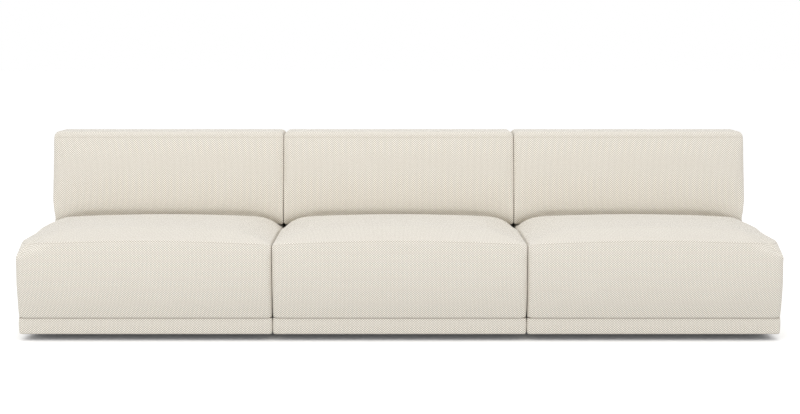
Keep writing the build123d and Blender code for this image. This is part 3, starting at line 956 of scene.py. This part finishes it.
def painted_seam_shade(nodes):
    """How much painted shade a seam's groove gets at a point, from the distances that the covers carry."""
    seam = nodes.add("ShaderNodeAttribute", {"attribute_name": "seam"}).outputs["Fac"]
    upright = nodes.add("ShaderNodeAttribute", {"attribute_name": "upright_seam"}).outputs["Fac"]
    near = nodes.math("MINIMUM", nodes.math("ABSOLUTE", seam), nodes.math("ABSOLUTE", upright))
    line = nodes.add("ShaderNodeMapRange", Value=near)
    line.inputs["From Min"].default_value, line.inputs["From Max"].default_value = SEAM_SHADE_REACH
    line.inputs["To Min"].default_value = SEAM_SHADE
    line.inputs["To Max"].default_value = 0.0
    return line.outputs[0]


def fabric():
    """Ivory cloth of thick, slightly uneven yarn, with painted shade between the yarns and in the seams.
    """
    material, nodes, shader, at = new_material("ivory_weave", roughness=0.92, sheen=0.3)
    shader.inputs["Sheen Roughness"].default_value = 0.45
    shader.inputs["Specular IOR Level"].default_value = 0.25
    place = at.outputs["Object"]
    moved = drifted(nodes, place)
    height, over = woven(nodes, moved, at.outputs["Normal"])
    slub = nodes.noise(moved, scale=240.0, detail=2.0)
    cloud = nodes.noise(place, scale=9.0, detail=3.0)
    yarns = nodes.blend(over, FABRIC_LIGHT, FABRIC_SECOND)
    raised = nodes.math("MINIMUM", nodes.math("MULTIPLY", height, YARN_RISE), 1.0)
    # painted shade: the colour darkens where the weave is low, between the yarns
    colour = nodes.blend(raised, FABRIC_YARN_GAP_SHADE, yarns)
    colour = nodes.blend(nodes.math("MULTIPLY", slub, SLUB_SHARE), colour, FABRIC_SLUB)
    colour = nodes.blend(nodes.math("MULTIPLY", cloud, WARM_SHARE), colour, FABRIC_WARM)
    # painted shade along the seams
    colour = nodes.blend(painted_seam_shade(nodes), colour, FABRIC_SEAM_SHADE)
    nodes.put(shader.inputs["Base Color"], colour)
    rise = nodes.math("MULTIPLY_ADD", slub, SLUB_HEIGHT, height)
    nodes.bump(shader, rise, strength=0.45, distance=0.0011)
    return material


def band_fabric(material):
    """The same cloth for pieces without sewn seams: it has no seam distances, which read as nought."""
    copy = material.copy()
    copy.name = "ivory_weave_band"
    tree = copy.node_tree
    for node in [node for node in tree.nodes if node.type == "ATTRIBUTE"]:
        for link in list(node.outputs["Fac"].links):
            target = link.to_socket
            tree.links.remove(link)
            target.default_value = NO_SEAM
        tree.nodes.remove(node)
    return copy


def wood(name, grain_axis, light, dark, scale):
    """Planed wood: long grain along one axis, growth rings across it and fine fibres."""
    material, nodes, shader, at = new_material(name, roughness=0.62)
    stretch = [scale] * 3
    stretch[grain_axis] = scale / GRAIN_STRETCH
    long = nodes.add("ShaderNodeMapping", Vector=at.outputs["Object"])
    long.inputs["Scale"].default_value = stretch
    place = long.outputs[0]
    grain = nodes.noise(place, scale=6.0, detail=6.0, roughness=0.65)
    rings = nodes.add("ShaderNodeTexWave", Vector=place, Scale=1.7, Distortion=5.0, Detail=2.0)
    faint = nodes.math("MULTIPLY", grain, GRAIN_SHARE)
    share = nodes.math("MULTIPLY_ADD", rings.outputs["Fac"], RING_SHARE, faint)
    colour = nodes.blend(share, light, dark)
    fibre = nodes.noise(place, scale=60.0, detail=3.0)
    colour = nodes.blend(nodes.math("MULTIPLY", fibre, FIBRE_SHARE), colour, dark)
    nodes.put(shader.inputs["Base Color"], colour)
    rough = nodes.math("MULTIPLY_ADD", grain, WOOD_ROUGHNESS_SPREAD, WOOD_ROUGHNESS)
    nodes.put(shader.inputs["Roughness"], rough)
    nodes.bump(shader, fibre, strength=0.25, distance=0.0004)
    return material


def plywood():
    """Plywood: veneer grain on its broad faces and thin layers along its edges."""
    material = wood("plywood", 0, PLY_FACE, PLY_GRAIN, scale=9.0)
    nodes = Nodes(material.node_tree)
    shader = material.node_tree.nodes["Principled BSDF"]
    at = nodes.add("ShaderNodeTexCoord")
    z = nodes.add("ShaderNodeSeparateXYZ", Vector=at.outputs["Object"]).outputs["Z"]
    layer = nodes.math("FLOORED_MODULO", nodes.math("FLOOR", nodes.math("DIVIDE", z, PLY_LAYER)), 2.0)
    facing = nodes.add("ShaderNodeSeparateXYZ", Vector=at.outputs["Normal"]).outputs["Z"]
    edge = nodes.math("LESS_THAN", nodes.math("ABSOLUTE", facing), 0.5)
    face = shader.inputs["Base Color"].links[0].from_socket
    share = nodes.math("MULTIPLY", nodes.math("MULTIPLY", edge, layer), PLY_EDGE_SHARE)
    nodes.put(shader.inputs["Base Color"], nodes.blend(share, face, PLY_EDGE))
    return material


def steel(name, colour, roughness, scale):
    """Metal with a faint mottle in its colour and polish."""
    material, nodes, shader, at = new_material(name, roughness=roughness, metallic=1.0)
    place = at.outputs["Object"]
    mottle = nodes.noise(place, scale, detail=4.0, roughness=0.6)
    darker = tuple(part * STEEL_SHADE for part in colour) + (1,)
    nodes.put(shader.inputs["Base Color"], nodes.blend(mottle, (*colour, 1), darker))
    least = roughness - STEEL_ROUGHNESS_SPREAD / 2
    rough = nodes.math("MULTIPLY_ADD", mottle, STEEL_ROUGHNESS_SPREAD, least)
    nodes.put(shader.inputs["Roughness"], rough)
    fine = nodes.noise(place, scale * 9, detail=2.0)
    nodes.bump(shader, fine, strength=0.12, distance=0.0002)
    return material


def speckled(name, colour, lighter, scale, roughness, strength):
    """A dark, finely grained surface: moulded plastic or pressed cloth."""
    material, nodes, shader, at = new_material(name, roughness=roughness)
    place = at.outputs["Object"]
    grain = nodes.noise(place, scale, detail=5.0, roughness=0.7)
    cloud = nodes.noise(place, scale / SPECKLE_CLOUD, detail=2.0)
    mixed = nodes.blend(grain, (*colour, 1), (*lighter, 1))
    mixed = nodes.blend(nodes.math("MULTIPLY", cloud, SPECKLE_SHARE), mixed, (*lighter, 1))
    nodes.put(shader.inputs["Base Color"], mixed)
    nodes.bump(shader, grain, strength=strength, distance=0.0004)
    return material


def finish_frame_parts(cloth):
    """Gives each part of the frame inside its finish, and dark cloth to what the covers stand for."""
    along = [wood(f"timber_{axis}", number, PINE, PINE_RING, 8.0) for number, axis in enumerate("xyz")]
    boards = plywood()
    zinc = steel("zinc_steel", ZINC, roughness=0.38, scale=60.0)
    spring = steel("spring_steel", SPRING_WIRE, roughness=0.42, scale=140.0)
    plastic = speckled("moulded_plastic", PLASTIC, PLASTIC_GRAIN, 900.0, roughness=0.55, strength=0.3)
    finishes = {
        "front_rail": along[0],
        "mid_rail": along[0],
        "rear_rail": along[0],
        "side_rails": along[1],
        "back_posts": along[2],
        "back_rails": along[0],
        "deck_board": boards,
        "plinth_boards": boards,
        "seat_springs": spring,
        "spring_clips": zinc,
        "bracket_sockets": zinc,
        "hook_plates": zinc,
        "back_blades": zinc,
        "feet": plastic,
    }
    for name, node in frame["nodes"].items():
        node.data.materials.clear()
        node.data.materials.append(finishes.get(name.split("_", 1)[1], cloth))
        for face in node.data.polygons:
            face.material_index = 0


# The whole object


def dress(piece, name, body, nodes, material, declare, ease=None):
    """Puts a copy of a piece on each module, riding on its body and standing for its CAD nodes."""
    for number, module in enumerate(MODULES):
        side = number - (len(MODULES) - 1) // 2
        mesh = piece.data.copy()
        copy = bpy.data.objects.new(f"{module}_{name}", mesh)
        bpy.context.scene.collection.objects.link(copy)
        points = get_points(mesh)
        if ease and side:
            points = ease(points, side)
        set_points(mesh, points + np.array([pitch * side, 0, 0]))
        mesh.shade_smooth()
        mesh.materials.clear()
        mesh.materials.append(material)
        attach(copy, f"{module}_{body}")
        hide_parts(*[f"{module}_{node}" for node in nodes])
        declare(copy)
    bpy.data.objects.remove(piece)


def dress_all():
    """Every soft piece, put on each module."""
    black = speckled("pressed_cloth", BLACK_CLOTH, BLACK_CLOTH_GRAIN, 500.0, roughness=0.95, strength=0.6)
    finish_frame_parts(black)
    weave = fabric()

    def cushion(copy):
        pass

    def band(copy):
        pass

    def under(copy):
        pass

    under_seat, under_back = ["seat_cover", "seat_foam"], ["back_cover", "back_foam"]
    dress(seat_upholstery(), "seat_upholstery", "seat", under_seat, weave, cushion, ease_seat_side)
    dress(back_upholstery(), "back_upholstery", "back", under_back, weave, cushion, ease_back_side)
    dress(plinth_band(), "plinth_band", "seat", ["plinth_cover"], band_fabric(weave), band)
    dress(under_cloth(), "under_cloth", "seat", ["dust_cover"], black, under)


# Floor, light and camera


def floor():
    """A wide pale floor that reads as white in the picture, apart from the object's shadow."""
    half = FLOOR_SIZE / 2
    corners = [(-half, -half, 0), (half, -half, 0), (half, half, 0), (-half, half, 0)]
    piece = new_piece("floor", corners, [(0, 1, 2, 3)])
    material, nodes, shader, at = new_material("pale_floor", roughness=1.0)
    material.node_tree.nodes.remove(shader)
    seen = seen_as_background(nodes)
    cloud = nodes.noise(at.outputs["Object"], scale=3.0, detail=3.0)
    plain = nodes.blend(cloud, FLOOR_COLOUR, FLOOR_SHADE)
    colour = nodes.blend(seen, plain, FLOOR_SEEN)
    diffuse = nodes.add("ShaderNodeBsdfDiffuse", Color=colour)
    glow = nodes.add("ShaderNodeEmission", Strength=nodes.math("MULTIPLY", seen, FLOOR_GLOW))
    both = nodes.add("ShaderNodeAddShader", i0=diffuse.outputs[0], i1=glow.outputs[0])
    end = material.node_tree.nodes["Material Output"]
    nodes.put(end.inputs["Surface"], both.outputs[0])
    piece.data.materials.append(material)


def seen_as_background(nodes):
    """1 for rays from the camera, off a gloss or through glass, and 0 for the light on the object."""
    path = nodes.add("ShaderNodeLightPath")
    shiny = nodes.math("MAXIMUM", path.outputs["Is Glossy Ray"], path.outputs["Is Transmission Ray"])
    return nodes.math("MAXIMUM", path.outputs["Is Camera Ray"], shiny)


def world():
    """Plain white light from all round, and pure white where the world itself is seen."""
    made = bpy.data.worlds.new("studio")
    bpy.context.scene.world = made
    made.use_nodes = True
    nodes = Nodes(made.node_tree)
    ground = made.node_tree.nodes["Background"]
    strength = nodes.math("MULTIPLY_ADD", seen_as_background(nodes), 1 - WORLD_LIGHT, WORLD_LIGHT)
    nodes.put(ground.inputs["Color"], WORLD_COLOUR)
    nodes.put(ground.inputs["Strength"], strength)


def lamp(name, place, size, power):
    """A large square soft light, aimed at the sofa."""
    light = bpy.data.lights.new(name, "AREA")
    light.shape = "SQUARE"
    light.size = size
    light.energy = power
    piece = bpy.data.objects.new(name, light)
    piece.location = place
    direction = Vector(LAMP_TARGET) - Vector(place)
    piece.rotation_euler = direction.to_track_quat("-Z", "Y").to_euler()
    bpy.context.scene.collection.objects.link(piece)


def camera():
    """The photograph's view: from chest height, looking a little down."""
    data = bpy.data.cameras.new("camera")
    data.lens = LENS
    data.sensor_width = SENSOR
    data.shift_x = CAMERA_SHIFT
    data.clip_end = CAMERA_REACH
    piece = bpy.data.objects.new("camera", data)
    piece.location = CAMERA_PLACE
    piece.rotation_euler = (pi / 2 - CAMERA_PITCH, 0, 0)
    bpy.context.scene.collection.objects.link(piece)
    bpy.context.scene.camera = piece


def light_scene():
    """Everything round the object, with plain colours in the picture."""
    world()
    floor()
    for name, settings in LAMPS.items():
        lamp(name, *settings)
    camera()
    bpy.context.scene.view_settings.view_transform = "Standard"


dress_all()
light_scene()
